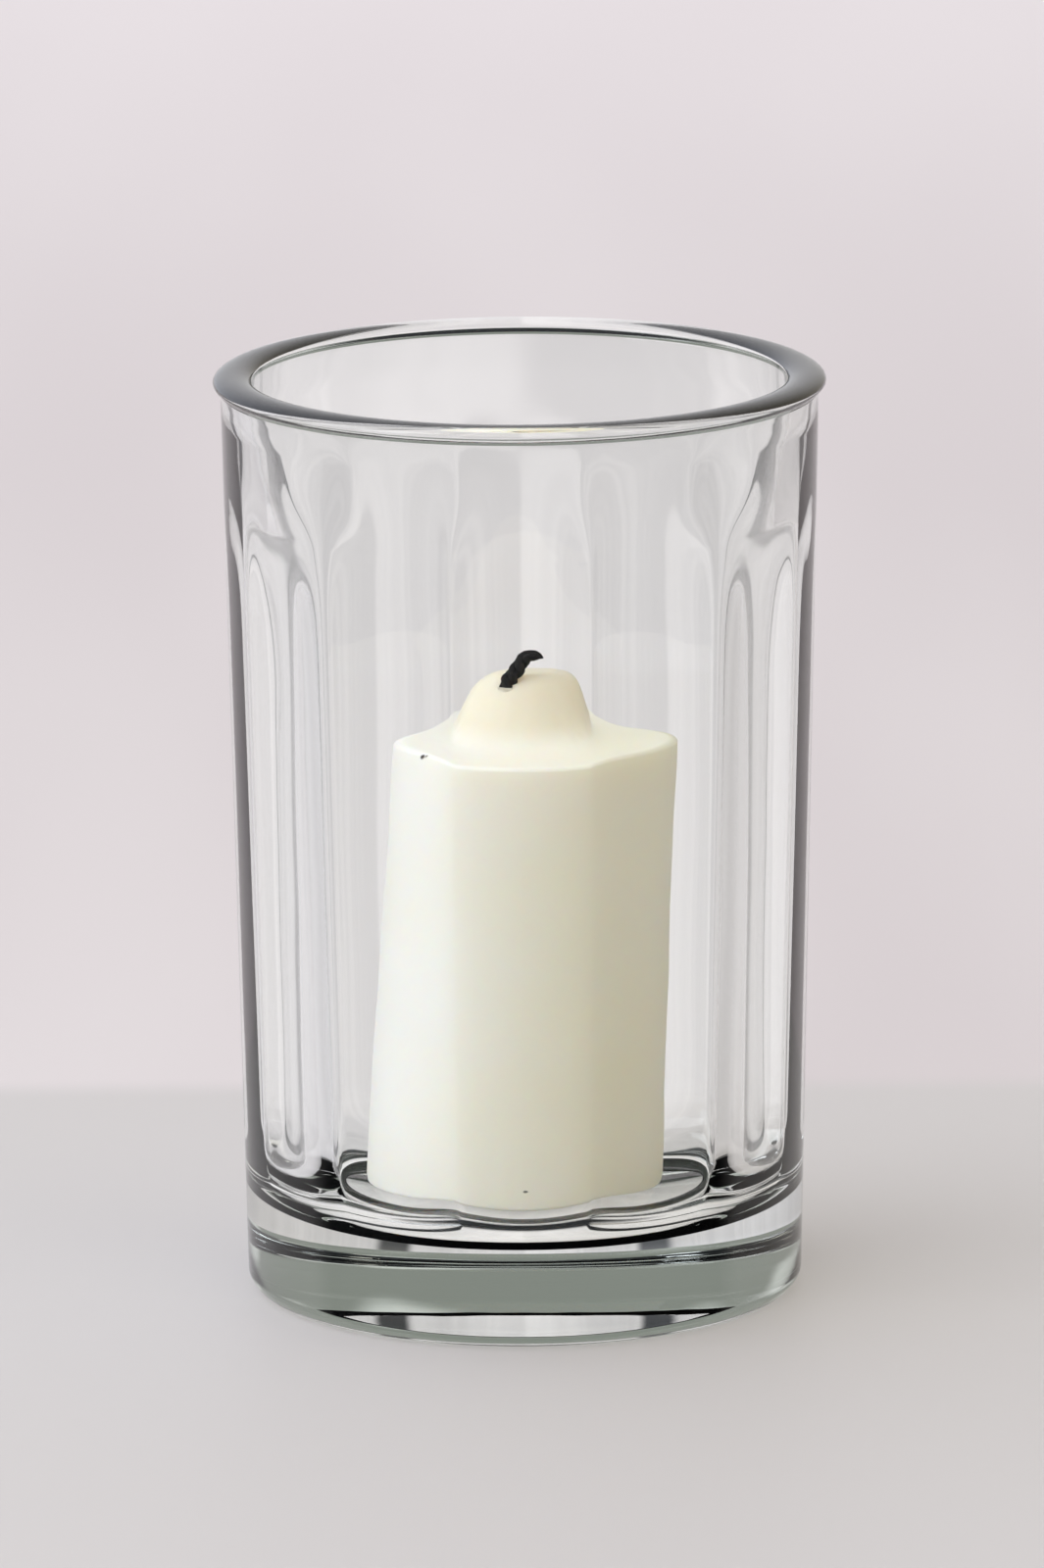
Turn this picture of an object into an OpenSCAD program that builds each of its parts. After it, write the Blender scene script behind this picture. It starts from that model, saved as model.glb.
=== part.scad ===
// Hurricane candle holder: a heavy pressed tumbler with twelve flats inside,
// and a short pillar candle standing loose on its floor.
// Millimetres, +Z up, origin at the centre of the glass's footprint.

/* [Glass] */
// Overall height of the glass
glass_h = 125.5; // [110:0.5:160]
// Outside diameter of the body just under the rim bead
body_top_d = 80; // [72:0.5:96]
// Outside diameter of the body at the heel
body_heel_d = 75; // [68:0.2:92]
// Radius that rounds the heel
heel_r = 2.5; // [1:0.25:6]
// Height of the rim bead
bead_h = 2.4; // [1.5:0.1:5]
// How far the rim bead stands proud of the body
bead_out = 1; // [0.5:0.1:2.5]
// How far the mouth inside the bead is wider than the bore's corners below it
mouth_out = 0.6; // [0.3:0.1:1.5]

/* [Bore] */
// Wall thickness at the top, measured at the corners between the flats
wall_top = 4.8; // [3.5:0.1:6]
// Wall thickness at the heel, measured at the corners between the flats
wall_heel = 5.5; // [4:0.1:8]
// Thickness of the glass floor under the candle
floor_t = 12; // [6:0.5:20]
// Radius where the bore turns into the floor
bore_fillet = 10; // [3:0.25:12]
// Number of flats pressed round the bore
flats = 12; // [8:1:16]
// How far the corners between the flats are rounded off
corner_soften = 0.15; // [0.05:0.05:0.4]
// Height of the plain round collar above the flats, bead included
collar_h = 7; // [6:0.5:20]
// Height over which each flat runs out into the collar
runout_h = 12; // [1:0.5:20]

/* [Foot] */
// Width of the ring that the glass stands on
ring_w = 2.4; // [1.5:0.1:4]
// Height of the step from the ring up to the hollow's edge
hollow_step = 0.6; // [0.3:0.1:2]
// How much higher the hollow is in the middle than at its edge
hollow_rise = 1.4; // [0.5:0.1:4]

/* [Candle] */
// Diameter of the candle at its top edge
candle_top_d = 36.8; // [30:0.2:44]
// Diameter of the candle at its foot
candle_foot_d = 36.6; // [30:0.2:44]
// Height of the candle to its flat shoulder
candle_h = 63.5; // [30:0.5:68]
// Chamfer round the candle's foot
candle_chamfer = 1.4; // [0.5:0.1:3]
// Chamfer round the candle's shoulder
shoulder_chamfer = 0.6; // [0.2:0.1:2]
// How far the candle stands to the right of the glass's axis
candle_x = 0; // [-4:0.1:4]
// Height of the mound of wax round the wick
mound_h = 9.2; // [4:0.2:12]
// Diameter of the mound at half its height
mound_mid_d = 11.8; // [8:0.2:16]
// How steep the mound's side is: a higher value is nearer to a cylinder
mound_steepness = 4.3; // [3:0.1:10]
// How far the mound sits to the right of the candle's own axis
mound_shift = 0; // [-2:0.1:2]

/* [Wick] */
// Diameter of the braided wick
wick_d = 1.5; // [1:0.1:3]
// How far the wick sits to the left of the mound's axis
wick_left = 1; // [0:0.1:2]
// How far the wick sits to the front of the mound's axis
wick_front = 3.2; // [0:0.1:4]
// Depth below the mound's top at which the burnt part begins
wick_sink = 1.5; // [0.2:0.1:2]
// Length of burnt wick, measured straight up
char_h = 4.2; // [3:0.1:8]
// How far the burnt wick leans to the right before it hooks over
char_lean = 1.5; // [0.5:0.1:5]
// How far the burnt tip hooks over past the lean
char_hook = 0.9; // [0.5:0.1:3]

/* [Sustainer] */
// Diameter of the tin disc under the candle
disc_d = 15; // [10:0.5:20]
// Thickness of the tin disc
disc_t = 0.3; // [0.2:0.05:0.5]
// Height of the neck that is crimped round the wick
neck_h = 5; // [3:0.5:8]
// Wall of the crimped neck
neck_wall = 0.35; // [0.2:0.05:0.6]

/* [Hidden] */
$fn = 96;

body_top_r = body_top_d / 2;
body_heel_r = body_heel_d / 2;
bead_z = glass_h - bead_h;
bead_mid_z = glass_h - bead_h / 2;
bore_top_r = body_top_r - wall_top;
mouth_r = bore_top_r + mouth_out;
bead_mid_r = (mouth_r + body_top_r + bead_out) / 2;
bead_half_w = bead_mid_r - mouth_r;
bore_heel_r = body_heel_r - wall_heel;
bore_slope = (bore_top_r - bore_heel_r) / (bead_z - floor_t);
flat_top_z = glass_h - collar_h;
ring_out_r = body_heel_r - heel_r;
ring_in_r = ring_out_r - ring_w;
step_w = 1.2;                       // run of the slope from the ring to the hollow
hollow_steps = 12;                  // steps in the hollow's curve
arc_steps = 8;                      // steps in a quarter turn of a turned outline

candle_top_r = candle_top_d / 2;
candle_foot_r = candle_foot_d / 2;
shoulder_z = floor_t + candle_h;
mound_z = shoulder_z + mound_h;
mound_x = candle_x + mound_shift;
mound_sink = 1;                     // the mound's root inside the candle
mound_steps = 16;
mound_trim = 0.03;                 // share cut off the bell's endless foot and tip
wick_r = wick_d / 2;
wick_x = mound_x - wick_left;
wick_y = -wick_front;
wick_top_z = mound_z - wick_sink;
neck_r = wick_r + neck_wall;
char_rings = 15;
char_sides = 10;

// Radius of the bore's turned form at height z, before the flats.
function bore_r(z) = bore_heel_r + bore_slope * (z - floor_t);

// Distance from the axis to the middle of a flat at height z.
function flat_r(z) = bore_r(z) * cos(180 / flats) + corner_soften;

// A quarter arc of radius r round (cx, cz), from angle a to angle a + 90.
function quarter(cx, cz, r, a) =
    [for (i = [0 : arc_steps]) [cx + r * cos(a + 90 * i / arc_steps), cz + r * sin(a + 90 * i / arc_steps)]];

// Radius of the mound at share t of its height: a bell that flares onto the shoulder.
function mound_r(t) =
    mound_mid_d / 2 * pow((1 + mound_trim - t) / (t + mound_trim), 1 / mound_steepness);

// The turned outside of the glass: foot, heel, straight body and rounded bead, all solid.
module glass_outside() {
    rotate_extrude($fn = 180)
        polygon(concat(
            [[0, 0]],
            quarter(ring_out_r, heel_r, heel_r, -90),
            [[body_top_r, bead_z]],
            [for (i = [0 : arc_steps * 2])
                let (a = -50 + 140 * i / (arc_steps * 2))
                [bead_mid_r + bead_half_w * cos(a), bead_mid_z + bead_h / 2 * sin(a)]],
            [[0, glass_h]]));
}

// The hollow under the base, which leaves the glass standing on a narrow ring.
module foot_hollow() {
    rotate_extrude($fn = 180)
        polygon(concat(
            [[0, -1], [ring_in_r, -1], [ring_in_r, 0]],
            [for (i = [hollow_steps : -1 : 0])
                let (t = i / hollow_steps)
                [(ring_in_r - step_w) * t, hollow_step + hollow_rise * (1 - t * t)]]));
}

// The bore as it was turned, round all the way and rounded into the floor.
module turned_bore() {
    fillet_z = floor_t + bore_fillet;
    rotate_extrude($fn = 180)
        polygon(concat(
            [[0, floor_t]],
            quarter(bore_r(fillet_z) - bore_fillet, fillet_z, bore_fillet, -90),
            [[bore_r(flat_top_z), flat_top_z], [0, flat_top_z]]));
}

// One flat: everything on the bore's side of a plane that leans out with the wall's draft.
module flat_side() {
    reach = 2 * body_top_r;
    draft = atan(bore_slope * cos(180 / flats));
    translate([flat_r(floor_t), 0, floor_t])
        rotate([0, draft, 0])
            translate([-2 * reach, -reach, -reach])
                cube([2 * reach, 2 * reach, 2 * glass_h + reach]);
}

// The space inside all the flats together.
module between_flats() {
    intersection_for (i = [0 : flats - 1])
        rotate([0, 0, -90 + 360 * i / flats])
            flat_side();
}

// The bore with its flats, up to where they stop.
module flat_bore() {
    intersection() {
        turned_bore();
        between_flats();
    }
}

// The round collar above the flats, which each flat runs out into, and the bead's rounded mouth.
module collar_bore() {
    rotate_extrude($fn = 180)
        polygon(concat(
            [[0, flat_top_z - runout_h],
             [flat_r(flat_top_z - runout_h), flat_top_z - runout_h],
             [mouth_r, flat_top_z]],
            [for (i = [0 : arc_steps - 1])
                let (a = 180 - 90 * i / arc_steps)
                [bead_mid_r + bead_half_w * cos(a), bead_mid_z + bead_h / 2 * sin(a)]],
            [[bead_mid_r, glass_h], [bead_mid_r, glass_h + 1], [0, glass_h + 1]]));
}

module hurricane_glass() {
    color([0.86, 0.91, 0.9, 0.4])
        difference() {
            glass_outside();
            foot_hollow();
            flat_bore();
            collar_bore();
        }
}

// The straight part of the candle, chamfered at its foot and at its shoulder.
module candle_body() {
    translate([candle_x, 0, floor_t])
        rotate_extrude()
            polygon([
                [0, 0],
                [candle_foot_r - candle_chamfer, 0],
                [candle_foot_r, candle_chamfer],
                [candle_top_r, candle_h - shoulder_chamfer],
                [candle_top_r - shoulder_chamfer, candle_h],
                [0, candle_h]]);
}

// The mound of wax that stands round the wick.
module wax_mound() {
    translate([mound_x, 0, shoulder_z])
        rotate_extrude()
            polygon(concat(
                [[0, -mound_sink], [mound_r(0), -mound_sink]],
                [for (i = [0 : mound_steps]) [mound_r(i / mound_steps), mound_h * i / mound_steps]],
                [[0, mound_h]]));
}

module candle_wax() {
    color([0.93, 0.9, 0.8])
        difference() {
            union() {
                candle_body();
                wax_mound();
            }
            translate([wick_x, wick_y, floor_t - 1])
                cylinder(r = wick_r, h = mound_z - floor_t + 2);
            translate([wick_x, wick_y, floor_t - 1])
                cylinder(d = disc_d, h = disc_t + 1);
            translate([wick_x, wick_y, floor_t])
                cylinder(r = neck_r, h = neck_h);
        }
}

module wick_braid() {
    color([0.9, 0.87, 0.78])
        translate([wick_x, wick_y, floor_t])
            cylinder(r = wick_r, h = wick_top_z - floor_t);
}

// Centre of the burnt wick at share t of its length: it stands straight in its hole, leans right,
// then hooks over and down.
function char_at(t) =
    let (lean = min(t / 0.72, 1), bend = max((lean - 0.2) / 0.8, 0), hook = max((t - 0.62) / 0.38, 0))
    [char_lean * pow(bend, 1.4) + char_hook * hook,
     0.3 * sin(180 * bend),
     char_h * sin(90 * lean) - char_h * 0.22 * hook * hook];

// Direction of the burnt wick at t, straight up where it leaves the mound.
function char_direction(t) =
    let (d = t == 0 ? [0, 0, 1] : char_at(min(t + 0.02, 1)) - char_at(t - 0.02))
    d / norm(d);

// Burning leaves the wick thinner than the braid, knobbly in the middle and blunt at its tip.
function char_r(t) = wick_r * (0.92 - 0.12 * sin(180 * t) + 0.1 * sin(1180 * t) * min(1, 4 * t));

// One ring of points round the burnt wick at share t of its length.
function char_ring(t) =
    let (up = char_direction(t),
         side = cross([0, 1, 0], up) / norm(cross([0, 1, 0], up)),
         back = cross(up, side))
    [for (k = [0 : char_sides - 1])
        let (a = 360 * k / char_sides)
        char_at(t) + char_r(t) * (cos(a) * side + sin(a) * back)];

module wick_char() {
    points = [for (i = [0 : char_rings - 1]) each char_ring(i / (char_rings - 1))];
    sides = [for (i = [0 : char_rings - 2], k = [0 : char_sides - 1])
        let (n = (k + 1) % char_sides)
        [i * char_sides + k, (i + 1) * char_sides + k, (i + 1) * char_sides + n, i * char_sides + n]];
    foot = [for (k = [0 : char_sides - 1]) k];
    tip = [for (k = [char_sides - 1 : -1 : 0]) (char_rings - 1) * char_sides + k];
    color([0.06, 0.05, 0.05])
        translate([wick_x, wick_y, wick_top_z])
            polyhedron(points = points, faces = concat(sides, [foot, tip]), convexity = 4);
}

// The tin disc and the neck that is crimped round the foot of the wick.
module wick_sustainer() {
    color([0.75, 0.76, 0.77])
        translate([wick_x, wick_y, floor_t])
            difference() {
                union() {
                    cylinder(d = disc_d, h = disc_t);
                    cylinder(r = neck_r, h = neck_h);
                }
                translate([0, 0, -1])
                    cylinder(r = wick_r, h = neck_h + 2);
            }
}

hurricane_glass();
candle_wax();
wick_braid();
wick_char();
wick_sustainer();
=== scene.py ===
# %% [markdown]
# # Dressing a hurricane candle lantern
#
# The object is a heavy tumbler of clear pressed glass with a short candle
# standing loose on its floor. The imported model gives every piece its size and
# place. This lesson turns those plain solids into glass, wax and burnt cotton,
# one piece at a time, and then sets up a pale table, soft light and a camera.

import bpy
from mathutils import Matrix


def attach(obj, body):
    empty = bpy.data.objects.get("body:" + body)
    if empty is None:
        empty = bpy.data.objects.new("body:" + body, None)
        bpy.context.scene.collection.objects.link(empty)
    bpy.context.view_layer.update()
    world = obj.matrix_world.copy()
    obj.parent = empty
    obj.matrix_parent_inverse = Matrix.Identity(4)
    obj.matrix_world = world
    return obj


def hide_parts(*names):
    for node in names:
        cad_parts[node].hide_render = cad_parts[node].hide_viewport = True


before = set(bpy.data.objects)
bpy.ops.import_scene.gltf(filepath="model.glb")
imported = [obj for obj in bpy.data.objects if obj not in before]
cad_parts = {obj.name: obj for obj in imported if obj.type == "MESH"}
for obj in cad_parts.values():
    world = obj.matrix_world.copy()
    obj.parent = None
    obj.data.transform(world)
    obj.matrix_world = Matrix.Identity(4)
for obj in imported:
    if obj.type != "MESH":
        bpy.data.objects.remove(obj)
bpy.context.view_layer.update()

# %% Import what the lesson needs
import math

import bmesh
import bpy
import numpy as np
from mathutils import Matrix, Vector

MM = 0.001

# %% [markdown]
# ## A short way to write nodes
#
# Both materials and geometry trees are graphs of nodes, and wiring them by
# hand hides the idea under bookkeeping. A small class that wraps one socket
# lets the sums be written as sums: `1 - mask * 0.5` makes its own Math nodes.
# Every other kind of node comes from its one method, `node`, and `twin` gives
# another output of the same node.

# %% Wrap a socket so that arithmetic makes Math nodes
class Wire:
    def __init__(self, tree, socket=None):
        self.tree = tree
        self.socket = socket

    def node(self, kind, settings=None, sockets=None, out=0):
        made = self.tree.nodes.new(kind)
        for name, value in (settings or {}).items():
            setattr(made, name, value)
        for name, value in (sockets or {}).items():
            if isinstance(value, Wire):
                self.tree.links.new(value.socket, made.inputs[name])
            else:
                made.inputs[name].default_value = value
        return Wire(self.tree, made.outputs[out] if len(made.outputs) else None)

    def twin(self, name):
        return Wire(self.tree, self.socket.node.outputs[name])

    def math(self, operation, *values):
        sockets = dict(enumerate(values))
        return self.node("ShaderNodeMath", {"operation": operation}, sockets)

    def __add__(self, other):
        return self.math("ADD", self, other)

    def __radd__(self, other):
        return self.math("ADD", other, self)

    def __sub__(self, other):
        return self.math("SUBTRACT", self, other)

    def __rsub__(self, other):
        return self.math("SUBTRACT", other, self)

    def __mul__(self, other):
        return self.math("MULTIPLY", self, other)

    def __rmul__(self, other):
        return self.math("MULTIPLY", other, self)

    def __truediv__(self, other):
        return self.math("DIVIDE", self, other)

    def __rtruediv__(self, other):
        return self.math("DIVIDE", other, self)

    def __pow__(self, other):
        return self.math("POWER", self, other)

    def __abs__(self):
        return self.math("ABSOLUTE", self)


# %% Start a material with one Principled shader
def new_material(name):
    material = bpy.data.materials.new(name)
    material.use_nodes = True
    tree = material.node_tree
    tree.nodes.clear()
    wire = Wire(tree)
    output = tree.nodes.new("ShaderNodeOutputMaterial")
    return material, wire, output


def principled(wire, output, sockets):
    shader = wire.node("ShaderNodeBsdfPrincipled", {}, sockets, "BSDF")
    wire.tree.links.new(shader.socket, output.inputs["Surface"])
    return shader


# %% Blend two colours, or two vectors, by a factor
def mix_colour(wire, factor, low, high):
    return wire.node(
        "ShaderNodeMix", {"data_type": "RGBA"}, {0: factor, 6: low, 7: high}, 2
    )


# %% Map a range of values onto 0 to 1, smoothly
def smooth_step(wire, value, low, high):
    return wire.node(
        "ShaderNodeMapRange",
        {"interpolation_type": "SMOOTHSTEP"},
        {"Value": value, "From Min": low, "From Max": high},
    )


# %% Take a vector apart, and scale one
def axes(wire, vector):
    x = wire.node("ShaderNodeSeparateXYZ", {}, {"Vector": vector}, "X")
    return x, x.twin("Y"), x.twin("Z")


def scaled(wire, vector, factor):
    return wire.node(
        "ShaderNodeVectorMath", {"operation": "SCALE"}, {0: vector, "Scale": factor}
    )


# %% Cloudy noise, and a bump from any height
def noise(wire, vector, scale, detail=2.0):
    sockets = {"Vector": vector, "Scale": scale, "Detail": detail}
    return wire.node("ShaderNodeTexNoise", {}, sockets, "Fac")


def bumped(wire, height, strength, distance):
    sockets = {"Height": height, "Strength": strength, "Distance": distance}
    return wire.node("ShaderNodeBump", {}, sockets)


# %% [markdown]
# ## Geometry Nodes as a tool that is run once
#
# A tree is built, put on an object as a modifier and given its sizes. The
# evaluated result is then kept as a plain mesh and the modifier goes away,
# because the finished piece has to be an ordinary mesh in its place.

# %% Build a geometry tree with named inputs
def new_geometry_tree(name, inputs):
    tree = bpy.data.node_groups.new(name, "GeometryNodeTree")
    face = tree.interface
    face.new_socket("Geometry", in_out="INPUT", socket_type="NodeSocketGeometry")
    for label, kind in inputs:
        face.new_socket(label, in_out="INPUT", socket_type=kind)
    face.new_socket("Geometry", in_out="OUTPUT", socket_type="NodeSocketGeometry")
    entry = tree.nodes.new("NodeGroupInput")
    return tree, Wire(tree), lambda label: Wire(tree, entry.outputs[label])


def finish_tree(wire, geometry, material):
    real = wire.node("GeometryNodeRealizeInstances", {}, {"Geometry": geometry})
    dressed = wire.node(
        "GeometryNodeSetMaterial", {}, {"Geometry": real, "Material": material}
    )
    leave = wire.tree.nodes.new("NodeGroupOutput")
    wire.tree.links.new(dressed.socket, leave.inputs[0])


# %% Run a tree on an object and keep the result as a plain mesh
def run_tree(obj, tree, values):
    modifier = obj.modifiers.new(tree.name, "NODES")
    modifier.node_group = tree
    sockets = {
        item.name: item.identifier
        for item in tree.interface.items_tree
        if item.item_type == "SOCKET" and item.in_out == "INPUT"
    }
    for label, value in values.items():
        modifier[sockets[label]] = value
    bpy.context.view_layer.update()
    evaluated = obj.evaluated_get(bpy.context.evaluated_depsgraph_get())
    mesh = bpy.data.meshes.new_from_object(evaluated)
    mesh.name = obj.name
    obj.modifiers.clear()
    if obj.type == "MESH":
        obj.data = mesh
        piece = obj
    else:
        piece = bpy.data.objects.new(obj.name + "_mesh", mesh)
        bpy.context.scene.collection.objects.link(piece)
        name = obj.name
        bpy.data.objects.remove(obj)
        piece.name = name
    piece.data.shade_smooth()
    print(piece.name, "has", len(piece.data.polygons), "faces")
    return piece


# %% [markdown]
# ## Turning a solid from an outline
#
# The tumbler and the candle are both round about an axis, as if turned on a
# lathe. An outline from the axis at the bottom to the axis at the top is swept
# round in even steps. The two ends close as fans of triangles, so the skin
# has no hole, and the normals are recalculated once the skin is whole.

# %% Sweep an outline round the axis
def turned(name, outline, columns, centre=(0.0, 0.0)):
    rings = [(r, z) for r, z in outline if r > 1e-9]
    low, high = outline[0][1], outline[-1][1]
    angles = [2 * math.pi * i / columns for i in range(columns)]
    points = [
        (centre[0] + r * math.cos(a), centre[1] + r * math.sin(a), z)
        for r, z in rings
        for a in angles
    ]
    points += [(centre[0], centre[1], low), (centre[0], centre[1], high)]
    faces = []
    for row in range(len(rings) - 1):
        for i in range(columns):
            n = (i + 1) % columns
            faces.append(
                (row * columns + i, row * columns + n,
                 (row + 1) * columns + n, (row + 1) * columns + i)
            )
    last = (len(rings) - 1) * columns
    for i in range(columns):
        n = (i + 1) % columns
        faces.append((len(points) - 2, n, i))
        faces.append((len(points) - 1, last + i, last + n))
    mesh = bpy.data.meshes.new(name)
    mesh.from_pydata(points, [], faces)
    skin = bmesh.new()
    skin.from_mesh(mesh)
    bmesh.ops.recalc_face_normals(skin, faces=skin.faces)
    skin.to_mesh(mesh)
    skin.free()
    mesh.shade_smooth()
    obj = bpy.data.objects.new(name, mesh)
    bpy.context.scene.collection.objects.link(obj)
    return obj


# %% Points along a quarter turn and along a straight line
def arc(cx, cz, rx, rz, start, end, steps):
    return [
        (cx + rx * math.cos(math.radians(start + (end - start) * i / steps)),
         cz + rz * math.sin(math.radians(start + (end - start) * i / steps)))
        for i in range(steps + 1)
    ]


def line(a, b, steps):
    return [
        (a[0] + (b[0] - a[0]) * i / steps, a[1] + (b[1] - a[1]) * i / steps)
        for i in range(steps + 1)
    ]


# %% [markdown]
# ## The glass's sizes
#
# The tumbler is pressed: molten glass is squeezed between a round mould and a
# twelve-sided plunger. So its outside is turned and its inside has flats. The
# sizes are the ones that the solid model was built with, in millimetres.

# %% Name the glass's sizes
GLASS_H, BODY_TOP_R, BODY_HEEL_R, HEEL_R = 125.5, 40.0, 37.5, 2.5
BEAD_H, BEAD_OUT, MOUTH_R = 2.4, 1.0, 35.8
BORE_TOP_R, BORE_HEEL_R, FLOOR_Z, BORE_FILLET = 35.2, 32.0, 12.0, 10.0
FLATS, CORNER_SOFTEN, FLAT_TOP_Z, RUNOUT_H = 12, 0.15, 118.5, 12.0
RING_OUT_R, RING_W = 35.0, 2.4
DOME_LIP, DOME_RISE, DOME_EDGE = 0.6, 1.4, 1.2
BEAD_Z = GLASS_H - BEAD_H
BORE_SLOPE = (BORE_TOP_R - BORE_HEEL_R) / (BEAD_Z - FLOOR_Z)


def bore_r(z):
    return BORE_HEEL_R + BORE_SLOPE * (z - FLOOR_Z)


print("bore is", round(2 * bore_r(FLOOR_Z), 1), "mm wide at the floor")

# %% Draw the glass's outline, from under the base over the rim to the floor
def glass_outline():
    ring_in = RING_OUT_R - RING_W
    bead_r = (MOUTH_R + BODY_TOP_R + BEAD_OUT) / 2
    bead_w = bead_r - MOUTH_R
    bead_mid = GLASS_H - BEAD_H / 2
    fillet_z = FLOOR_Z + BORE_FILLET
    dome_r = ring_in - DOME_EDGE
    under = [
        (r, DOME_LIP + DOME_RISE * (1 - (r / dome_r) ** 2))
        for r in [dome_r * i / 24 for i in range(25)]
    ]
    under += [
        (dome_r + DOME_EDGE * t, DOME_LIP * (0.5 + 0.5 * math.cos(math.pi * t)))
        for t in (0.2, 0.4, 0.6, 0.8, 1.0)
    ]
    foot = line((ring_in + 0.4, 0), (RING_OUT_R, 0), 2)
    heel = arc(RING_OUT_R, HEEL_R, HEEL_R, HEEL_R, -90, 0, 14)[1:]
    body = line((BODY_HEEL_R, HEEL_R), (BODY_TOP_R, BEAD_Z - 1.0), 6)[1:]
    neck = [(BODY_TOP_R, BEAD_Z - 0.2)]
    bead = arc(bead_r, bead_mid, bead_w, BEAD_H / 2, -50, 180, 40)
    collar_z = FLAT_TOP_Z + 0.6
    collar = line((MOUTH_R, bead_mid), (MOUTH_R, collar_z), 4)[1:]
    low = FLAT_TOP_Z - RUNOUT_H
    runout = line((MOUTH_R, collar_z), (bore_r(low), low), 16)[1:]
    bore = line((bore_r(low), low), (bore_r(fillet_z + 1), fillet_z + 1), 26)[1:]
    fillet = arc(
        bore_r(fillet_z) - BORE_FILLET, fillet_z, BORE_FILLET, BORE_FILLET, 0, -90, 18
    )
    floor = [(r, FLOOR_Z) for r in (26, 22, 16, 10, 5)] + [(0, FLOOR_Z)]
    outside = under + foot + heel + body + neck + bead
    inside = collar + runout + bore + fillet + floor
    return [(r * MM, z * MM) for r, z in outside + inside], len(outside)


outline, bore_start = glass_outline()
print("glass outline has", len(outline), "points")

# %% Turn the blank and mark the vertices that the plunger shapes
GLASS_COLUMNS = 600
glass = turned("glass_tumbler", outline, GLASS_COLUMNS)
mark = glass.data.attributes.new("bore", "FLOAT", "POINT")
marks = np.zeros(len(glass.data.vertices), dtype=np.float32)
marks[(bore_start - 1) * GLASS_COLUMNS:-2] = 1.0
mark.data.foreach_set("value", marks)
print("blank has", len(glass.data.vertices), "points,", int(marks.sum()), "in the bore")

# %% [markdown]
# ## Pressing the flats
#
# The flats could be cut with twelve booleans, but a rule is shorter and keeps
# the corners soft. At each point of the bore, the tree folds the angle round
# the axis into one flat and works out how far that flat is from the axis
# there. A smooth minimum of that and the turned radius rounds the corners
# between the flats, as the hot glass does. Near the top a cone widens to the
# round collar, and a smooth maximum lets each flat run out into it. Above the
# floor the flats fade in over the height of the cove, which stays round.

# %% Build the tree that presses the flats
def flats_tree():
    tree, wire, given = new_geometry_tree(
        "press_flats",
        [
            ("Flats", "NodeSocketFloat"),
            ("Flat distance at floor", "NodeSocketFloat"),
            ("Draft", "NodeSocketFloat"),
            ("Wall radius at floor", "NodeSocketFloat"),
            ("Floor height", "NodeSocketFloat"),
            ("Cove height", "NodeSocketFloat"),
            ("Flat top", "NodeSocketFloat"),
            ("Run-out", "NodeSocketFloat"),
            ("Mouth radius", "NodeSocketFloat"),
            ("Ridge softness", "NodeSocketFloat"),
            ("Run-out softness", "NodeSocketFloat"),
            ("Material", "NodeSocketMaterial"),
        ],
    )
    x, y, z = axes(wire, wire.node("GeometryNodeInputPosition", out="Position"))
    turn = wire.math("ARCTAN2", y, x) / (2 * math.pi) + 0.25
    share = turn * given("Flats")
    fold = share - wire.math("FLOOR", share + 0.5)
    angle = fold / given("Flats") * (2 * math.pi)
    above = z - given("Floor height")
    distance = given("Flat distance at floor") + given("Draft") * above
    wall = given("Wall radius at floor") + given("Draft") * above
    flat = distance / wire.math("COSINE", angle)
    low = given("Flat top") - given("Run-out")
    rise = low - given("Floor height")
    start = given("Flat distance at floor") + given("Draft") * rise
    cone = start + (given("Mouth radius") - start) * ((z - low) / given("Run-out"))
    pressed = wire.math("SMOOTH_MAX", flat, cone, given("Run-out softness"))
    shaped = wire.math("SMOOTH_MIN", wall, pressed, given("Ridge softness"))
    fade = smooth_step(wire, above, 0.0, given("Cove height"))
    scale = 1 - fade * (1 - shaped / wall)
    moved = wire.node(
        "ShaderNodeCombineXYZ", {}, {"X": x * scale, "Y": y * scale, "Z": z}
    )
    bore = wire.node(
        "GeometryNodeInputNamedAttribute", {"data_type": "FLOAT"}, {"Name": "bore"}
    )
    chosen = wire.node(
        "FunctionNodeCompare", {"data_type": "FLOAT", "operation": "GREATER_THAN"},
        {0: bore, 1: 0.5},
    )
    pushed = wire.node(
        "GeometryNodeSetPosition", {},
        {"Geometry": given("Geometry"), "Selection": chosen, "Position": moved},
    )
    finish_tree(wire, pushed, given("Material"))
    return tree


press_flats = flats_tree()
print("press_flats has", len(press_flats.nodes), "nodes")

# %% [markdown]
# ## Clear pressed glass
#
# Real refraction carries almost the whole look: the thick base, the dark edges
# and the bands behind each flat all come from the shape. The surface is nearly
# smooth, with the faint slow waves that a press leaves, and the body of the
# glass takes up a little red and blue, so only the thick base looks green. A
# ray tracer finds hardly any light by chance through glass, so shadow rays
# pass it as if it were a clear film, and the shadow stays pale.

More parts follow.
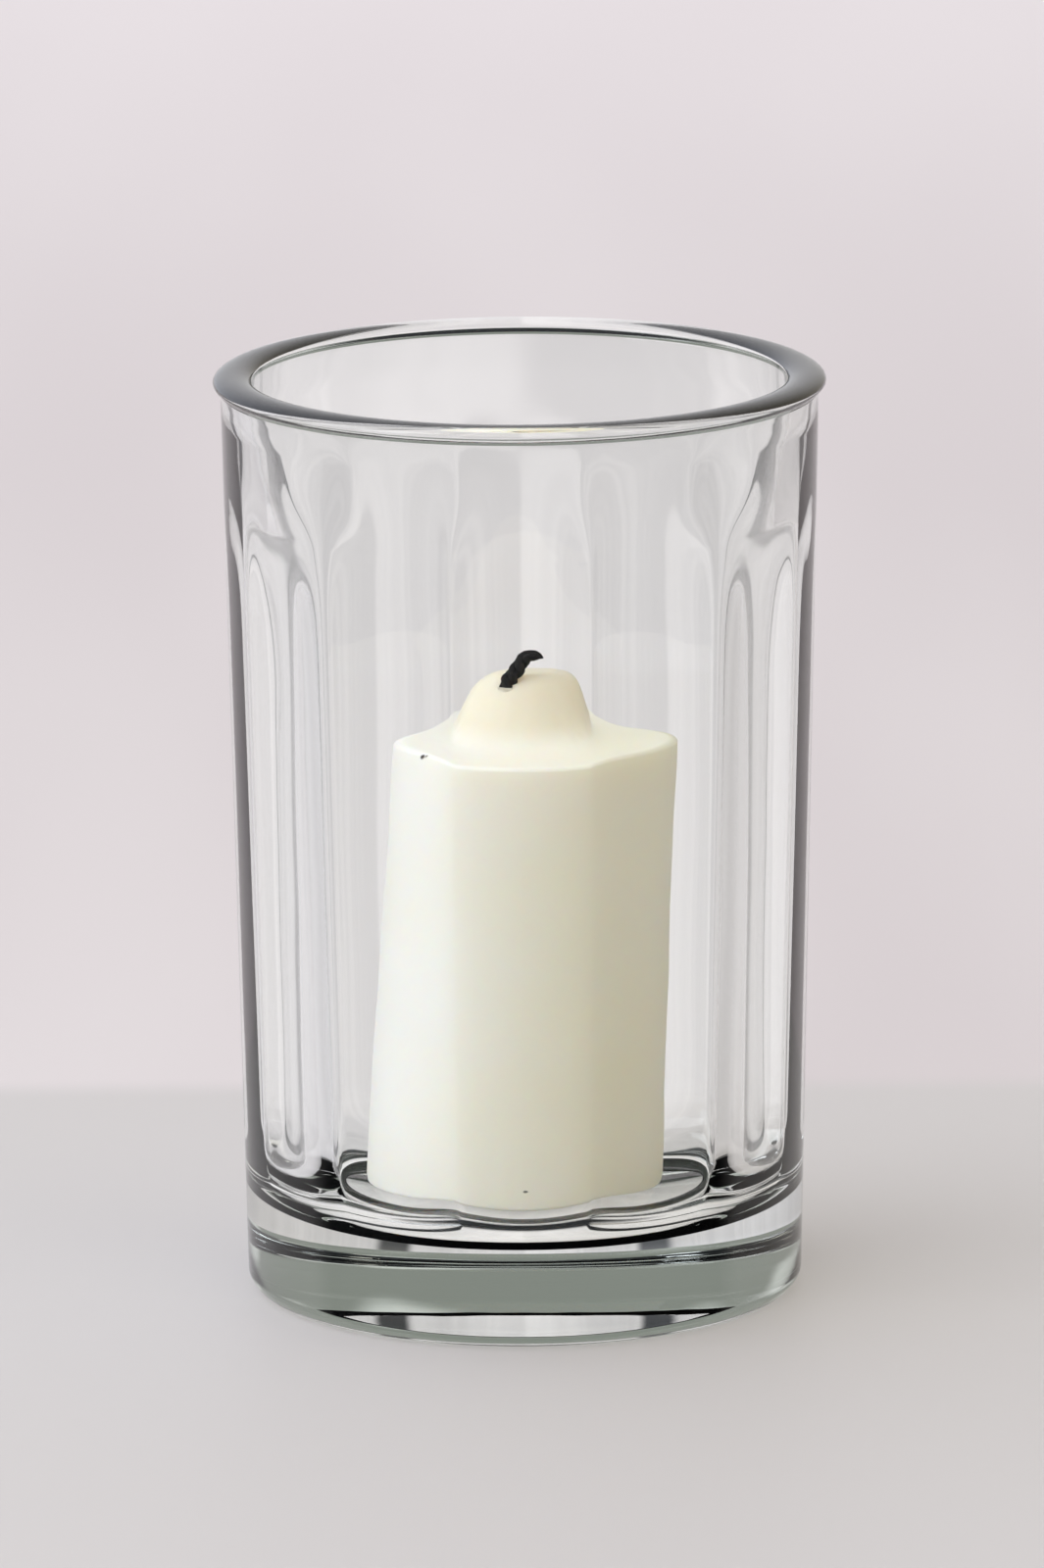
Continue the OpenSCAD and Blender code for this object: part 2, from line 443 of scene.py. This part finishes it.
# %% Make the glass
def glass_material():
    material, wire, output = new_material("clear_pressed_glass")
    coords = wire.node("ShaderNodeTexCoord", out="Object")
    slow = wire.node(
        "ShaderNodeMapping", {}, {"Vector": coords, "Scale": (60.0, 60.0, 22.0)}
    )
    waves = noise(wire, slow, 1.0, 1.5)
    shader = principled(
        wire, output,
        {
            "Base Color": (0.995, 1.0, 0.995, 1.0),
            "Roughness": 0.0,
            "IOR": 1.52,
            "Transmission Weight": 1.0,
            "Normal": bumped(wire, waves, 0.05, 0.002),
        },
    )
    clear = wire.node(
        "ShaderNodeBsdfTransparent", {}, {"Color": (0.965, 0.965, 0.955, 1.0)}
    )
    shadow = wire.node("ShaderNodeLightPath", out="Is Shadow Ray")
    both = wire.node("ShaderNodeMixShader", {}, {0: shadow, 1: shader, 2: clear})
    wire.tree.links.new(both.socket, output.inputs["Surface"])
    body = wire.node(
        "ShaderNodeVolumeAbsorption", {},
        {"Color": (0.66, 0.76, 0.70, 1.0), "Density": 3.0}, "Volume",
    )
    wire.tree.links.new(body.socket, output.inputs["Volume"])
    return material


clear_glass = glass_material()

# %% Press the glass and put it on its body
FLAT_SHARE = math.cos(math.pi / FLATS)
FLAT_AT_FLOOR = bore_r(FLOOR_Z) * FLAT_SHARE + CORNER_SOFTEN
RIDGE_SOFT, RUNOUT_SOFT = 0.8, 3.0
print("a flat lies", round(FLAT_AT_FLOOR, 2), "mm from the axis at the floor")

glass = run_tree(
    glass, press_flats,
    {
        "Flats": float(FLATS),
        "Flat distance at floor": FLAT_AT_FLOOR * MM,
        "Draft": BORE_SLOPE * FLAT_SHARE,
        "Wall radius at floor": bore_r(FLOOR_Z) * MM,
        "Floor height": FLOOR_Z * MM,
        "Cove height": BORE_FILLET * MM,
        "Flat top": FLAT_TOP_Z * MM,
        "Run-out": RUNOUT_H * MM,
        "Mouth radius": MOUTH_R * MM,
        "Ridge softness": RIDGE_SOFT * MM,
        "Run-out softness": RUNOUT_SOFT * MM,
        "Material": clear_glass,
    },
)
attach(glass, "glass")
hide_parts("hurricane_glass")

# %% [markdown]
# ## The candle
#
# A cast candle is a plain cylinder with a soft upper edge. This one has burnt
# once and was blown out: wax has set in a steep mound round the wick. The
# outline gives the round body, and a rule lifts the middle of its top into
# the mound. The candle was set down by hand and isn't quite upright: its top
# stands a little further right than its foot.

# %% Name the candle's sizes
CANDLE_X, CANDLE_TOP_R, CANDLE_FOOT_R, CANDLE_H = 0.0, 18.4, 18.3, 63.5
CANDLE_LEAN, CAST_WAVE = 1.4, 0.25
CHAMFER, SHOULDER = 1.4, 0.6
MOUND_H, MOUND_HALF_R, MOUND_STEEP, MOUND_X = 9.2, 5.9, 4.3, 0.0
WICK_X, WICK_Y = MOUND_X - 1.0, -3.2
WICK_SINK = 1.5
SEAT_GAP = 0.06
SHOULDER_Z = FLOOR_Z + CANDLE_H
MOUND_Z = SHOULDER_Z + MOUND_H

# %% Draw and turn the candle
def candle_outline():
    foot_z = FLOOR_Z + SEAT_GAP
    foot = [(r, foot_z) for r in (0, 6, 12)]
    foot += line((16.5, foot_z), (CANDLE_FOOT_R - CHAMFER, foot_z), 3)
    edge_z, brim_z = foot_z + CHAMFER, SHOULDER_Z - SHOULDER
    brim_r = CANDLE_TOP_R - SHOULDER
    edge = arc(CANDLE_FOOT_R - CHAMFER, edge_z, CHAMFER, CHAMFER, -90, 0, 8)[1:]
    side = line((CANDLE_FOOT_R, edge_z), (CANDLE_TOP_R, brim_z), 60)[1:]
    brim = arc(brim_r, brim_z, SHOULDER, SHOULDER, 0, 90, 8)[1:]
    top = line((brim_r, SHOULDER_Z), (0, SHOULDER_Z), 90)[1:]
    return [(r * MM, z * MM) for r, z in foot + edge + side + brim + top]


candle = turned("pillar_candle", candle_outline(), 240, (CANDLE_X * MM, 0.0))
print("candle has", len(candle.data.polygons), "faces")

# %% [markdown]
# ## Setting the mound and a hand-cast skin
#
# The height of the mound is a bell: level at the top, steep at the side and
# flaring out onto the shoulder. Every vertex of the top is lifted by it, and
# the whole candle is sheared a little sideways for its lean. The same tree
# nudges the skin by less than a tenth of a millimetre of slow noise, mostly
# inwards, so that the candle doesn't look machined and keeps its size.

# %% Build the tree that sets the mound
def mound_tree():
    tree, wire, given = new_geometry_tree(
        "set_mound",
        [
            ("Mound height", "NodeSocketFloat"),
            ("Half-height radius", "NodeSocketFloat"),
            ("Steepness", "NodeSocketFloat"),
            ("Mound centre X", "NodeSocketFloat"),
            ("Shoulder height", "NodeSocketFloat"),
            ("Lean", "NodeSocketFloat"),
            ("Unevenness", "NodeSocketFloat"),
            ("Material", "NodeSocketMaterial"),
        ],
    )
    place = wire.node("GeometryNodeInputPosition", out="Position")
    x, y, z = axes(wire, place)
    wobble = noise(wire, place, 190.0) - 0.5
    dx = x - given("Mound centre X")
    away = (dx * dx + y * y) ** 0.5 + wobble * (1.4 * MM)
    spread = (away / given("Half-height radius")) ** given("Steepness")
    bell = given("Mound height") / (1 + spread)
    dip = wobble * (0.5 * MM) * (bell / given("Mound height"))
    shoulder = given("Shoulder height")
    on_top = smooth_step(wire, z, shoulder - 0.3 * MM, shoulder)
    inward = 1 - smooth_step(wire, away, 15.0 * MM, 18.5 * MM)
    height = (bell + dip) * on_top * inward
    up = wire.math("MINIMUM", (z - FLOOR_Z * MM) / (CANDLE_H * MM), 1.0)
    sideways = given("Lean") * (up - 0.5)
    settled = wire.node("ShaderNodeCombineXYZ", {}, {"X": sideways, "Z": height})
    raised = wire.node(
        "GeometryNodeSetPosition", {}, {"Geometry": given("Geometry"), "Offset": settled}
    )
    normal = wire.node("GeometryNodeInputNormal", out="Normal")
    slow = noise(wire, place, 60.0, 3.0) - 0.62
    free = smooth_step(wire, z, (FLOOR_Z + 1.0) * MM, (FLOOR_Z + 4.0) * MM)
    nudge = scaled(wire, normal, slow * given("Unevenness") * free)
    uneven = wire.node(
        "GeometryNodeSetPosition", {}, {"Geometry": raised, "Offset": nudge}
    )
    finish_tree(wire, uneven, given("Material"))
    return tree


set_mound = mound_tree()
print("set_mound has", len(set_mound.nodes), "nodes")

# %% [markdown]
# ## Ivory wax
#
# Wax is cloudy: light goes in, scatters and comes out softened, so its shadows
# are warm and never hard. Subsurface scattering does that. The colour wanders
# between cream and ivory, and painted window light makes it palest on the
# left and more cream on the right, where painted shade falls.
# Where the top has melted and set again it is a warmer yellow. The skin has a
# low sheen, a few dark crumbs of burnt wick lie near the left edge of the top,
# and one fleck sits low on the front.

# %% Name the wax's colours and its marks
# painted light: the ivory tone also paints the lit left side and the cream tone the shaded
# right side
CREAM_AND_SHADED_SIDE, IVORY_AND_LIT_SIDE = (0.905, 0.86, 0.67, 1.0), (0.925, 0.90, 0.83, 1.0)
MELTED, SOOT = (0.82, 0.76, 0.60, 1.0), (0.05, 0.04, 0.035, 1.0)
CRUMBS_AT, CRUMBS_SPREAD = (-15.6, -9.0, SHOULDER_Z), (2.2, 3.5, 1.2)
FLECK_X, FLECK_Z = 0.1, FLOOR_Z + 5.2

# %% Make the wax
def wax_material():
    material, wire, output = new_material("ivory_wax")
    coords = wire.node("ShaderNodeTexCoord", out="Object")
    x, y, z = axes(wire, coords)
    cloud = noise(wire, coords, 45.0, 4.0)
    # painted light: the wax is painted paler towards the left, as if lit by the window, and
    # more cream towards the right, as painted shade
    painted_window_light = 1 - smooth_step(wire, x, -16.0 * MM, 14.0 * MM)
    wander = smooth_step(wire, cloud, 0.3, 0.7)
    tone = mix_colour(wire, wander * 0.35 + painted_window_light * 0.65, CREAM_AND_SHADED_SIDE, IVORY_AND_LIT_SIDE)
    melted = smooth_step(wire, z, (SHOULDER_Z + 0.3) * MM, (SHOULDER_Z + 3.5) * MM)
    tone = mix_colour(wire, melted, tone, MELTED)
    away = [
        abs(axis - at * MM) / (spread * MM)
        for axis, at, spread in zip((x, y, z), CRUMBS_AT, CRUMBS_SPREAD)
    ]
    near = 1 - smooth_step(wire, away[0] + away[1] + away[2], 0.7, 1.1)
    cells = wire.node(
        "ShaderNodeTexVoronoi", {}, {"Vector": coords, "Scale": 520.0}, "Distance"
    )
    crumbs = (1 - smooth_step(wire, cells, 0.16, 0.22)) * near
    aside = ((x - FLECK_X * MM) ** 2 + (z - FLECK_Z * MM) ** 2) ** 0.5 / MM
    inward = smooth_step(wire, y, -17.0 * MM, -16.0 * MM)
    fleck = 1 - smooth_step(wire, aside + inward, 0.18, 0.32)
    speck = wire.math("MAXIMUM", crumbs, fleck * 0.8)
    colour = mix_colour(wire, speck, tone, SOOT)
    grain = noise(wire, coords, 900.0, 3.0)
    bump = bumped(wire, cloud + grain * 0.15, 0.12, 0.001)
    principled(
        wire, output,
        {
            "Base Color": colour,
            "Roughness": 0.38 + cloud * 0.12,
            "IOR": 1.44,
            "Subsurface Weight": 0.6,
            "Subsurface Radius": (1.0, 0.72, 0.42),
            "Subsurface Scale": 0.004,
            "Normal": bump,
        },
    )
    return material


ivory_wax = wax_material()

# %% Set the mound and put the candle on its body
candle = run_tree(
    candle, set_mound,
    {
        "Mound height": MOUND_H * MM,
        "Half-height radius": MOUND_HALF_R * MM,
        "Steepness": MOUND_STEEP,
        "Mound centre X": MOUND_X * MM,
        "Shoulder height": SHOULDER_Z * MM,
        "Lean": CANDLE_LEAN * MM,
        "Unevenness": CAST_WAVE * MM,
        "Material": ivory_wax,
    },
)
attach(candle, "candle")
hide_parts("candle_wax")

# %% [markdown]
# ## The burnt wick
#
# A candle wick is three cotton strands plaited together. Burning leaves it
# thin, black and crumbly, and it curls over as it goes. A curve gives the bend
# by a handful of points. A tree then lays three strands round that curve,
# gives each a round section and crumbles its skin with fine noise.

# %% Draw the path of the burnt wick
def wick_path():
    curve = bpy.data.curves.new("burnt_wick", "CURVE")
    curve.dimensions = "3D"
    spline = curve.splines.new("NURBS")
    steps = [
        (0.0, 0.0, -0.4), (0.0, 0.0, 0.2), (0.1, 0.1, 0.8), (0.4, 0.2, 1.6),
        (0.8, 0.3, 2.5), (1.1, 0.3, 3.4), (1.5, 0.2, 4.15), (2.0, 0.1, 4.2),
        (2.25, 0.0, 3.7),
    ]
    spline.points.add(len(steps) - 1)
    root_z = MOUND_Z - WICK_SINK
    for point, (x, y, z) in zip(spline.points, steps):
        point.co = ((WICK_X + x) * MM, (WICK_Y + y) * MM, (root_z + z) * MM, 1.0)
    spline.order_u = 4
    spline.use_endpoint_u = True
    obj = bpy.data.objects.new("burnt_wick", curve)
    bpy.context.scene.collection.objects.link(obj)
    return obj


# %% Build the tree that plaits and crumbles it
def wick_tree():
    tree, wire, given = new_geometry_tree(
        "plait_wick",
        [
            ("Strands", "NodeSocketInt"),
            ("Strand radius", "NodeSocketFloat"),
            ("Lay radius", "NodeSocketFloat"),
            ("Turns", "NodeSocketFloat"),
            ("Crumble", "NodeSocketFloat"),
            ("Seed", "NodeSocketFloat"),
            ("Material", "NodeSocketMaterial"),
        ],
    )
    even = wire.node(
        "GeometryNodeResampleCurve", {}, {"Curve": given("Geometry"), "Count": 60}
    )
    copies = wire.node(
        "GeometryNodeDuplicateElements", {"domain": "SPLINE"},
        {"Geometry": even, "Amount": given("Strands")}, "Geometry",
    )
    which = copies.twin("Duplicate Index")
    along = wire.node("GeometryNodeSplineParameter", out="Factor")
    turn = which / given("Strands") * (2 * math.pi) + along * given("Turns") * (2 * math.pi)
    normal = wire.node("GeometryNodeInputNormal", out="Normal")
    tangent = wire.node("GeometryNodeInputTangent", out="Tangent")
    side = wire.node(
        "ShaderNodeVectorMath", {"operation": "CROSS_PRODUCT"}, {0: normal, 1: tangent}
    )
    out_a = scaled(wire, normal, wire.math("COSINE", turn) * given("Lay radius"))
    out_b = scaled(wire, side, wire.math("SINE", turn) * given("Lay radius"))
    offset = wire.node("ShaderNodeVectorMath", {"operation": "ADD"}, {0: out_a, 1: out_b})
    laid = wire.node(
        "GeometryNodeSetPosition", {}, {"Geometry": copies, "Offset": offset}
    )
    section = wire.node(
        "GeometryNodeCurvePrimitiveCircle", {},
        {"Resolution": 14, "Radius": given("Strand radius")},
    )
    strand = wire.node(
        "GeometryNodeCurveToMesh", {},
        {"Curve": laid, "Profile Curve": section, "Fill Caps": True},
    )
    where = wire.node("GeometryNodeInputPosition", out="Position")
    crust = wire.node(
        "ShaderNodeTexNoise", {"noise_dimensions": "4D"},
        {"Vector": where, "W": given("Seed"), "Scale": 1500.0, "Detail": 3.0}, "Fac",
    )
    skin_normal = wire.node("GeometryNodeInputNormal", out="Normal")
    shove = scaled(wire, skin_normal, (crust - 0.5) * given("Crumble"))
    crumbled = wire.node(
        "GeometryNodeSetPosition", {}, {"Geometry": strand, "Offset": shove}
    )
    finish_tree(wire, crumbled, given("Material"))
    return tree


plait_wick = wick_tree()
print("plait_wick has", len(plait_wick.nodes), "nodes")

# %% Make the charred cotton
def char_material():
    material, wire, output = new_material("charred_cotton")
    coords = wire.node("ShaderNodeTexCoord", out="Object")
    ash = noise(wire, coords, 2600.0, 4.0)
    colour = mix_colour(
        wire, smooth_step(wire, ash, 0.6, 0.85),
        (0.008, 0.007, 0.007, 1.0), (0.06, 0.05, 0.045, 1.0),
    )
    bump = bumped(wire, ash, 0.6, 0.0002)
    principled(wire, output, {"Base Color": colour, "Roughness": 0.85, "Normal": bump})
    return material


# %% Plait the wick and put it on the candle
wick = run_tree(
    wick_path(), plait_wick,
    {
        "Strands": 3,
        "Strand radius": 0.37 * MM,
        "Lay radius": 0.30 * MM,
        "Turns": 1.3,
        "Crumble": 0.42 * MM,
        "Seed": 4.0,
        "Material": char_material(),
    },
)
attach(wick, "candle")
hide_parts("wick_char")

# %% [markdown]
# ## The hidden pieces
#
# Inside the wax runs the unburnt braid, and under it sits the tin disc that
# held the wick upright while the wax was poured. Their solids have the right
# shape already, so they keep it and only get their finish.

# %% Make the waxed cotton and the tinplate
def cotton_material():
    material, wire, output = new_material("waxed_cotton")
    coords = wire.node("ShaderNodeTexCoord", out="Object")
    plait = wire.node(
        "ShaderNodeTexWave", {"wave_type": "BANDS", "bands_direction": "DIAGONAL"},
        {"Vector": coords, "Scale": 500.0, "Distortion": 1.5}, "Fac",
    )
    colour = mix_colour(wire, plait, (0.62, 0.57, 0.45, 1.0), (0.84, 0.80, 0.68, 1.0))
    bump = bumped(wire, plait, 0.5, 0.0002)
    principled(wire, output, {"Base Color": colour, "Roughness": 0.6, "Normal": bump})
    return material


def tin_material():
    material, wire, output = new_material("tinplate")
    coords = wire.node("ShaderNodeTexCoord", out="Object")
    stretched = wire.node(
        "ShaderNodeMapping", {}, {"Vector": coords, "Scale": (3000.0, 150.0, 150.0)}
    )
    roll = noise(wire, stretched, 1.0)
    principled(
        wire, output,
        {
            "Base Color": (0.72, 0.73, 0.74, 1.0),
            "Metallic": 1.0,
            "Roughness": 0.25 + roll * 0.2,
        },
    )
    return material


for name, finish in (("wick_braid", cotton_material()), ("wick_sustainer", tin_material())):
    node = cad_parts[name]
    node.data.materials.clear()
    node.data.materials.append(finish)
    print(name, "is finished in", finish.name)

# %% [markdown]
# ## The table and the space round it
#
# Clear glass shows little of itself: it shows what stands round it. So the
# stage matters more than on an opaque object. One pale floor reaches far back
# and changes tone behind the glass, as a table in front of a wall does.
#
# Light that has come through glass, or off it, finds a room of its own. A
# photographer sets black flags beside clear glass to draw its edges in dark
# lines. Here the flags are directions: the floor turns dark for rays that
# leave the glass well to the side of the line of sight, so the edges are
# drawn from every camera. Faint upright streaks and a darker tone to the
# sides give the clear wall the shade of a real room.
#
# Real glass also gathers light on the table under its heavy base. The shadow
# rays can't do that, so the table glows faintly there, for such rays alone.
# None of this lights the wax: the tones are left out after a diffuse bounce.

# %% Name the table's tones
TABLE_TONE = (0.615, 0.585, 0.57, 1.0)
WALL_DIM, WALL_TONE = (0.66, 0.60, 0.60, 1.0), (0.72, 0.665, 0.66, 1.0)
# painted light: the wall is painted brighter further back, making up for the lamps' light
# falling off there
WALL_FAR_PAINTED_LIGHT = (0.96, 0.89, 0.90, 1.0)
WALL_FOOT_Y, WALL_PAINTED_LIGHT_FADE = 0.107, (0.2, 1.6)
WALL_BLUR = (14.0, 2.2, 1.0)

# %% Name what light from the glass finds
FLAG_TONE = (0.03, 0.032, 0.034, 1.0)
FLAG_FADE, SKY_FADE, SKY_SIDES = (0.0, 0.25), (0.0, 0.1), (0.15, 0.45)
BAND_IN, BAND_OUT = (0.27, 0.30), (0.36, 0.40)
GLASS_LOW, GLASS_HIGH = (0.76, 0.73, 0.72, 1.0), (0.90, 0.865, 0.85, 1.0)
GLASS_SIDE, SIDE_FADE, SIDE_SHARE = (0.50, 0.48, 0.475, 1.0), (0.03, 0.2), 0.4
STREAKS = 14.0
UNDER_FADE, UNDER_GLOW = (0.034, 0.046), 0.36
ROOM_DARK, ROOM_LIGHT = (0.26, 0.28, 0.25, 1.0), (0.66, 0.69, 0.65, 1.0)
ROOM_SCALE, ROOM_EDGE = 1.6, (0.42, 0.55)


# %% Tell the rays that come from the glass, and turn a direction to the camera's
def glass_rays(wire):
    through = wire.node("ShaderNodeLightPath", out="Is Transmission Ray")
    unlit = 1 - wire.math("MINIMUM", through.twin("Diffuse Depth"), 1)
    return through * unlit, through.twin("Is Glossy Ray") * unlit


def from_camera(wire, direction):
    return wire.node(
        "ShaderNodeVectorTransform",
        {"vector_type": "VECTOR", "convert_from": "WORLD", "convert_to": "CAMERA"},
        {"Vector": direction},
    )


# %% Paint the floor as a table with a wall behind it
def floor_tone(wire, x, y, coords):
    stretched = wire.node("ShaderNodeMapping", {}, {"Vector": coords, "Scale": WALL_BLUR})
    blur = noise(wire, stretched, 1.0, 1.5)
    back = smooth_step(wire, y, WALL_FOOT_Y - 0.004, WALL_FOOT_Y + 0.008)
    wall = mix_colour(wire, smooth_step(wire, blur, 0.3, 0.7), WALL_DIM, WALL_TONE)
    # painted light: the wall turns brighter further back, in place of lamp light that falls
    # off with distance
    wall = mix_colour(wire, smooth_step(wire, y, *WALL_PAINTED_LIGHT_FADE), wall, WALL_FAR_PAINTED_LIGHT)
    return mix_colour(wire, back, TABLE_TONE, wall)


# %% Shade the floor for the rays that come from the glass
def floor_material():
    material, wire, output = new_material("pale_table")
    coords = wire.node("ShaderNodeTexCoord", out="Object")
    x, y, _ = axes(wire, coords)
    through, shine = glass_rays(wire)
    incoming = wire.node("ShaderNodeNewGeometry", out="Incoming")
    across, _, toward = axes(wire, from_camera(wire, incoming))
    aside, ahead = abs(across), toward * -1
    streak = wire.node(
        "ShaderNodeTexNoise", {"noise_dimensions": "1D"},
        {"W": across * STREAKS, "Scale": 1.0, "Detail": 3.0, "Roughness": 0.7}, "Fac",
    )
    clear = mix_colour(wire, smooth_step(wire, streak, 0.35, 0.65), GLASS_LOW, GLASS_HIGH)
    sideways = smooth_step(wire, aside, *SIDE_FADE) * SIDE_SHARE
    clear = mix_colour(wire, sideways, clear, GLASS_SIDE)
    band = smooth_step(wire, aside, *BAND_IN) * (1 - smooth_step(wire, aside, *BAND_OUT))
    behind = 1 - smooth_step(wire, ahead, *FLAG_FADE)
    flags = wire.math("MAXIMUM", behind * shine, band * through)
    tone = mix_colour(wire, through, floor_tone(wire, x, y, coords), clear)
    under = 1 - smooth_step(wire, (x * x + y * y) ** 0.5, *UNDER_FADE)
    gathered = under * through * (1 - flags) * UNDER_GLOW
    principled(
        wire, output,
        {
            "Base Color": mix_colour(wire, flags, tone, FLAG_TONE),
            "Roughness": 0.55,
            "Specular IOR Level": 0.3,
            "Emission Color": mix_colour(wire, gathered, (0.0, 0.0, 0.0, 1.0), GLASS_HIGH),
            "Emission Strength": 1.0,
        },
    )
    print(material.name, "has", len(material.node_tree.nodes), "nodes")
    return material


# %% Lay the floor just below the glass
TABLE_HALF, TABLE_Z = 6.0, -0.0002
mesh = bpy.data.meshes.new("table")
corners = [(-1, -1), (1, -1), (1, 1), (-1, 1)]
mesh.from_pydata(
    [(TABLE_HALF * x, TABLE_HALF * y, TABLE_Z) for x, y in corners], [], [(0, 1, 2, 3)]
)
table = bpy.data.objects.new("table", mesh)
bpy.context.scene.collection.objects.link(table)
table.data.materials.append(floor_material())

# %% [markdown]
# ## Soft light
#
# Most of the light comes from the whole sky of the scene, because light that
# has to pass through glass arrives cleanly only from a wide source. It is
# brighter and cooler on the left, like a window, and warmer on the right. Two
# large lamps add direction. Rays that come from the glass see the large dim
# shapes of a room instead, which is what the thick base mirrors, and flags
# behind the camera.

# %% Light the sky
SKY_LEFT, SKY_RIGHT = (1.19, 1.24, 1.40, 1.0), (0.60, 0.545, 0.44, 1.0)
SKY_SEEN = (0.80, 0.76, 0.76, 1.0)


def sky():
    world = bpy.data.worlds.new("soft_room")
    bpy.context.scene.world = world
    world.use_nodes = True
    tree = world.node_tree
    tree.nodes.clear()
    wire = Wire(tree)
    output = tree.nodes.new("ShaderNodeOutputWorld")
    direction = wire.node("ShaderNodeTexCoord", out="Generated")
    x, _, _ = axes(wire, direction)
    lit = mix_colour(wire, smooth_step(wire, x * -1, -0.9, 0.95), SKY_RIGHT, SKY_LEFT)
    camera_ray = wire.node("ShaderNodeLightPath", out="Is Camera Ray")
    seen = mix_colour(wire, camera_ray, lit, SKY_SEEN)
    through, shine = glass_rays(wire)
    sight = from_camera(wire, direction)
    across, _, ahead = axes(wire, sight)
    behind = 1 - smooth_step(wire, ahead, *FLAG_FADE)
    beside = smooth_step(wire, abs(across), *SKY_SIDES)
    beside = beside * (1 - smooth_step(wire, ahead, *SKY_FADE))
    flags = wire.math("MAXIMUM", behind * shine, beside * through)
    shapes = noise(wire, sight, ROOM_SCALE, 1.0)
    room = mix_colour(wire, smooth_step(wire, shapes, *ROOM_EDGE), ROOM_DARK, ROOM_LIGHT)
    seen = mix_colour(wire, through, seen, room)
    seen = mix_colour(wire, flags, seen, FLAG_TONE)
    light = wire.node("ShaderNodeBackground", {}, {"Color": seen, "Strength": 1.0})
    tree.links.new(light.socket, output.inputs["Surface"])
    print(world.name, "has", len(tree.nodes), "nodes")


sky()

# %% Hang the lamps
def lamp(name, place, target, width, height, energy, colour):
    data = bpy.data.lights.new(name, "AREA")
    data.shape = "RECTANGLE"
    data.size, data.size_y = width, height
    data.energy = energy
    data.color = colour
    obj = bpy.data.objects.new(name, data)
    obj.location = place
    sight = Vector(target) - Vector(place)
    obj.rotation_euler = sight.to_track_quat("-Z", "Y").to_euler()
    bpy.context.scene.collection.objects.link(obj)
    print(name, "shines at", energy, "W")


lamp("window_left", (-0.75, -0.35, 0.65), (0, 0, 0.06), 0.7, 0.9, 3.8, (0.92, 0.955, 1.0))
lamp("fill_right", (0.9, -0.5, 0.9), (0, 0, 0.06), 0.6, 0.6, 1.4, (1.0, 0.94, 0.83))

# %% [markdown]
# ## The camera
#
# It stands well back and looks down by nearly thirteen degrees through a long
# lens, so that the rim shows as a shallow ellipse and the sides stay upright.
# It is rolled by a third of a degree, as a camera in the hand is.

# %% Place the camera
CAMERA_AT, PITCH, ROLL = (0.0, -1.697, 0.450), 12.66, -0.36
SENSOR, LENS = 36.0, 13183.0 / 1600.0 * 36.0


def place_camera():
    data = bpy.data.cameras.new("camera")
    data.sensor_fit = "AUTO"
    data.sensor_width = SENSOR
    data.lens = LENS
    camera = bpy.data.objects.new("camera", data)
    pitch, roll = math.radians(PITCH), math.radians(ROLL)
    forward = Vector((0, math.cos(pitch), -math.sin(pitch)))
    right = Vector((1, 0, 0))
    up = right.cross(forward)
    tilted = math.cos(roll) * right + math.sin(roll) * up
    raised = tilted.cross(forward)
    camera.matrix_world = Matrix((
        (tilted.x, raised.x, -forward.x, CAMERA_AT[0]),
        (tilted.y, raised.y, -forward.y, CAMERA_AT[1]),
        (tilted.z, raised.z, -forward.z, CAMERA_AT[2]),
        (0, 0, 0, 1),
    ))
    bpy.context.scene.collection.objects.link(camera)
    bpy.context.scene.camera = camera
    print("camera looks down by", PITCH, "degrees through a lens of", round(LENS), "mm")


place_camera()
bpy.context.scene.view_settings.view_transform = "Standard"
